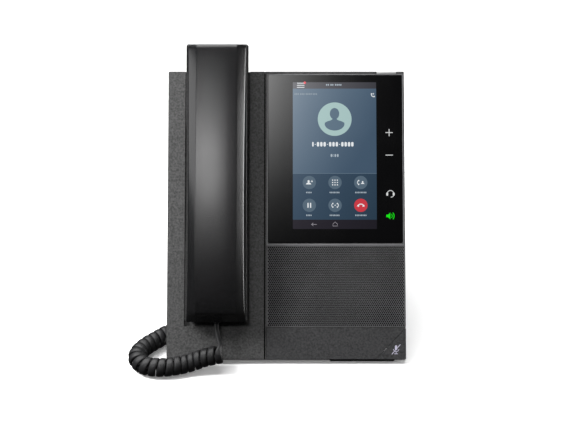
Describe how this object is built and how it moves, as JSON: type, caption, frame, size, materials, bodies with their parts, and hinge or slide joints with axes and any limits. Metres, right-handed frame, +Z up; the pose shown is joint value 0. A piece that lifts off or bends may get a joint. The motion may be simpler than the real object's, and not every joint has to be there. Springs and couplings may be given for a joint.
{
  "type": "desk ip phone",
  "caption": "Desk telephone with a corded handset in a side cradle, a portrait touch display, speaker grille, corner mute key and clip-on stand.",
  "frame": {"origin": "on the desk, under the middle of the phone's width and depth (the cord not counted)", "axes": "+X to the user's right, +Y away from the user, +Z up"},
  "size_m": [0.2029, 0.1675, 0.2055],
  "materials": {
    "charcoal_shell": "fine spark-eroded texture, matt charcoal ABS",
    "handset_shell": "satin black ABS with a fine grain",
    "trim_plastic": "smooth satin charcoal",
    "grille_plastic": "satin, finely perforated",
    "cover_glass": "black-backed polished cover glass",
    "display_panel": "lit panel behind the cover glass",
    "lamp_diffuser": "milky light guide",
    "circuit_board": "green solder resist",
    "pressed_steel": "plated steel",
    "black_plastic": "moulded black plastic",
    "rubber": "soft matt rubber",
    "speaker_paper": "treated paper cone",
    "clear_plug": "clear polycarbonate plug",
    "cord_jacket": "satin black elastomer"
  },
  "bodies": {
    "phone_body": {"base_plug": "clear_plug", "case_screw_1": "pressed_steel", "case_screw_2": "pressed_steel", "case_screw_3": "pressed_steel", "case_screw_4": "pressed_steel", "cord_base_lead": "cord_jacket", "cord_coil": "cord_jacket", "cord_handset_lead": "cord_jacket", "desk_stand": "charcoal_shell", "display_glass": "cover_glass", "front_foot_left": "rubber", "front_foot_right": "rubber", "front_housing": "charcoal_shell", "handset_jack": "black_plastic", "handsfree_microphone": "pressed_steel", "headset_jack": "black_plastic", "hook_spring": "pressed_steel", "hook_switch": "black_plastic", "lan_jack": "pressed_steel", "lcd_panel": "display_panel", "lcd_tray": "pressed_steel", "lower_trim_bar": "trim_plastic", "main_board": "circuit_board", "message_lamp": "lamp_diffuser", "microphone_boot": "rubber", "mute_board": "circuit_board", "mute_switch": "black_plastic", "pc_jack": "pressed_steel", "power_jack": "black_plastic", "rear_foot_left": "rubber", "rear_foot_right": "rubber", "rear_housing": "charcoal_shell", "speaker_basket": "pressed_steel", "speaker_cone": "speaker_paper", "speaker_gasket": "rubber", "speaker_grille": "grille_plastic", "speaker_magnet": "pressed_steel", "touch_key_board": "circuit_board", "usb_port": "pressed_steel"},
    "handset": {"handset_outer_shell": "handset_shell", "handset_inner_shell": "handset_shell", "receiver": "pressed_steel", "receiver_gasket": "rubber", "mouthpiece_microphone": "pressed_steel", "balance_weight": "pressed_steel", "handset_socket": "black_plastic", "handset_screw_1": "pressed_steel", "handset_screw_2": "pressed_steel", "handset_plug": "clear_plug"},
    "mute_key": {"mute_button": "trim_plastic"},
    "hook_plunger_pin": {"hook_plunger": "black_plastic"},
    "hanging_tab_plate": {"hanging_tab": "charcoal_shell"}
  },
  "joints": [
    {"name": "handset_lift", "type": "slide", "parent": "phone_body", "child": "handset", "axis": [0, -0.8192, 0.5736], "range_m": [0, 0.08]},
    {"name": "mute_press", "type": "slide", "parent": "phone_body", "child": "mute_key", "axis": [0, 0.8192, -0.5736], "range_m": [0, 0.0006], "stiffness_N_per_m": 800, "springref_m": -0.0005},
    {"name": "hook_rise", "type": "slide", "parent": "phone_body", "child": "hook_plunger_pin", "axis": [0, -0.8192, 0.5736], "range_m": [0, 0.003]},
    {"name": "tab_slide", "type": "slide", "parent": "phone_body", "child": "hanging_tab_plate", "axis": [0, 0.5736, 0.8192], "range_m": [0, 0.0036]}
  ],
  "couplings": [
    {"joint": "hook_rise", "follows": "handset_lift", "ratio": 0.0375}
  ]
}
